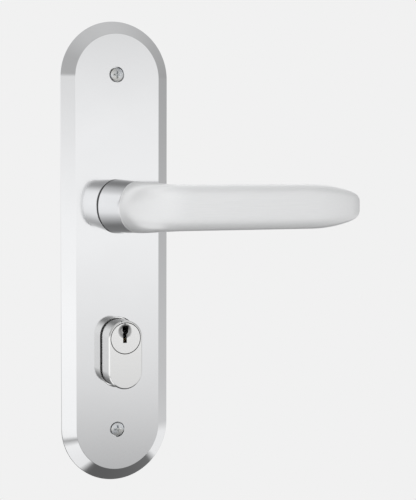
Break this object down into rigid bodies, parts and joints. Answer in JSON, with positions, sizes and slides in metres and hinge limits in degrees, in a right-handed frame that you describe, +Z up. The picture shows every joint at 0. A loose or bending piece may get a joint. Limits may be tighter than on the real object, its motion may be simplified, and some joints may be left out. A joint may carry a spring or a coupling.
{
  "type": "door lever lock set",
  "caption": "Long bevelled backplate with a sprung lever handle on a square spindle and an oval key cylinder with a turning plug and cam.",
  "frame": {"origin": "centre of the plate's back face, on the door's surface", "axes": "+X towards the lever's free end, +Y into the door, +Z up"},
  "size_m": [0.1346, 0.1051, 0.222],
  "materials": {
    "polished_chrome": "bright polished plating on a zinc casting",
    "satin_chrome": "matt satin plating on a zinc casting",
    "nickel": "nickel-plated brass, satin",
    "zinc_steel": "zinc-plated steel",
    "spring_steel": "oiled spring steel",
    "brass": "turned",
    "black_nylon": "moulded"
  },
  "bodies": {
    "root": {"cover_plate": "polished_chrome", "thrust_washer": "zinc_steel", "return_spring": "spring_steel", "spring_cover": "zinc_steel", "cover_screws": "zinc_steel", "fixing_screws": "zinc_steel", "cylinder_body": "nickel", "chamber_caps": "brass", "pin_spring_1": "spring_steel", "pin_spring_2": "spring_steel", "pin_spring_3": "spring_steel", "pin_spring_4": "spring_steel", "pin_spring_5": "spring_steel"},
    "lever": {"lever_arm": "satin_chrome", "lever_collar": "polished_chrome", "bearing_bush": "black_nylon", "spindle": "zinc_steel", "grub_screw": "spring_steel", "spring_driver": "zinc_steel", "retaining_ring": "spring_steel"},
    "key_plug": {"plug": "nickel", "cam": "zinc_steel", "plug_clip": "spring_steel"},
    "key_pin_1": {"key_pin_1": "brass"},
    "driver_pin_1": {"driver_pin_1": "brass"},
    "key_pin_2": {"key_pin_2": "brass"},
    "driver_pin_2": {"driver_pin_2": "brass"},
    "key_pin_3": {"key_pin_3": "brass"},
    "driver_pin_3": {"driver_pin_3": "brass"},
    "key_pin_4": {"key_pin_4": "brass"},
    "driver_pin_4": {"driver_pin_4": "brass"},
    "key_pin_5": {"key_pin_5": "brass"},
    "driver_pin_5": {"driver_pin_5": "brass"}
  },
  "joints": [
    {"name": "lever_turn", "type": "hinge", "parent": "root", "child": "lever", "pos_m": [0, 0, 0.0227], "axis": [0, 1, 0], "range_deg": [0, 40], "stiffness_Nm_per_rad": 0.9, "springref_deg": -20.05, "deforming": ["return_spring"]},
    {"name": "plug_turn", "type": "hinge", "parent": "root", "child": "key_plug", "pos_m": [0, 0, -0.0397], "axis": [0, 1, 0], "continuous": true},
    {"name": "key_pin_1_slide", "type": "slide", "parent": "key_plug", "child": "key_pin_1", "axis": [0, 0, 1], "range_m": [0, 0.002]},
    {"name": "driver_pin_1_slide", "type": "slide", "parent": "root", "child": "driver_pin_1", "axis": [0, 0, 1], "range_m": [-0.002, 0], "stiffness_N_per_m": 200, "springref_m": 0.002, "deforming": ["pin_spring_1"]},
    {"name": "key_pin_2_slide", "type": "slide", "parent": "key_plug", "child": "key_pin_2", "axis": [0, 0, 1], "range_m": [0, 0.002]},
    {"name": "driver_pin_2_slide", "type": "slide", "parent": "root", "child": "driver_pin_2", "axis": [0, 0, 1], "range_m": [-0.002, 0], "stiffness_N_per_m": 200, "springref_m": 0.002, "deforming": ["pin_spring_2"]},
    {"name": "key_pin_3_slide", "type": "slide", "parent": "key_plug", "child": "key_pin_3", "axis": [0, 0, 1], "range_m": [0, 0.002]},
    {"name": "driver_pin_3_slide", "type": "slide", "parent": "root", "child": "driver_pin_3", "axis": [0, 0, 1], "range_m": [-0.002, 0], "stiffness_N_per_m": 200, "springref_m": 0.002, "deforming": ["pin_spring_3"]},
    {"name": "key_pin_4_slide", "type": "slide", "parent": "key_plug", "child": "key_pin_4", "axis": [0, 0, 1], "range_m": [0, 0.002]},
    {"name": "driver_pin_4_slide", "type": "slide", "parent": "root", "child": "driver_pin_4", "axis": [0, 0, 1], "range_m": [-0.002, 0], "stiffness_N_per_m": 200, "springref_m": 0.002, "deforming": ["pin_spring_4"]},
    {"name": "key_pin_5_slide", "type": "slide", "parent": "key_plug", "child": "key_pin_5", "axis": [0, 0, 1], "range_m": [0, 0.002]},
    {"name": "driver_pin_5_slide", "type": "slide", "parent": "root", "child": "driver_pin_5", "axis": [0, 0, 1], "range_m": [-0.002, 0], "stiffness_N_per_m": 200, "springref_m": 0.002, "deforming": ["pin_spring_5"]}
  ]
}
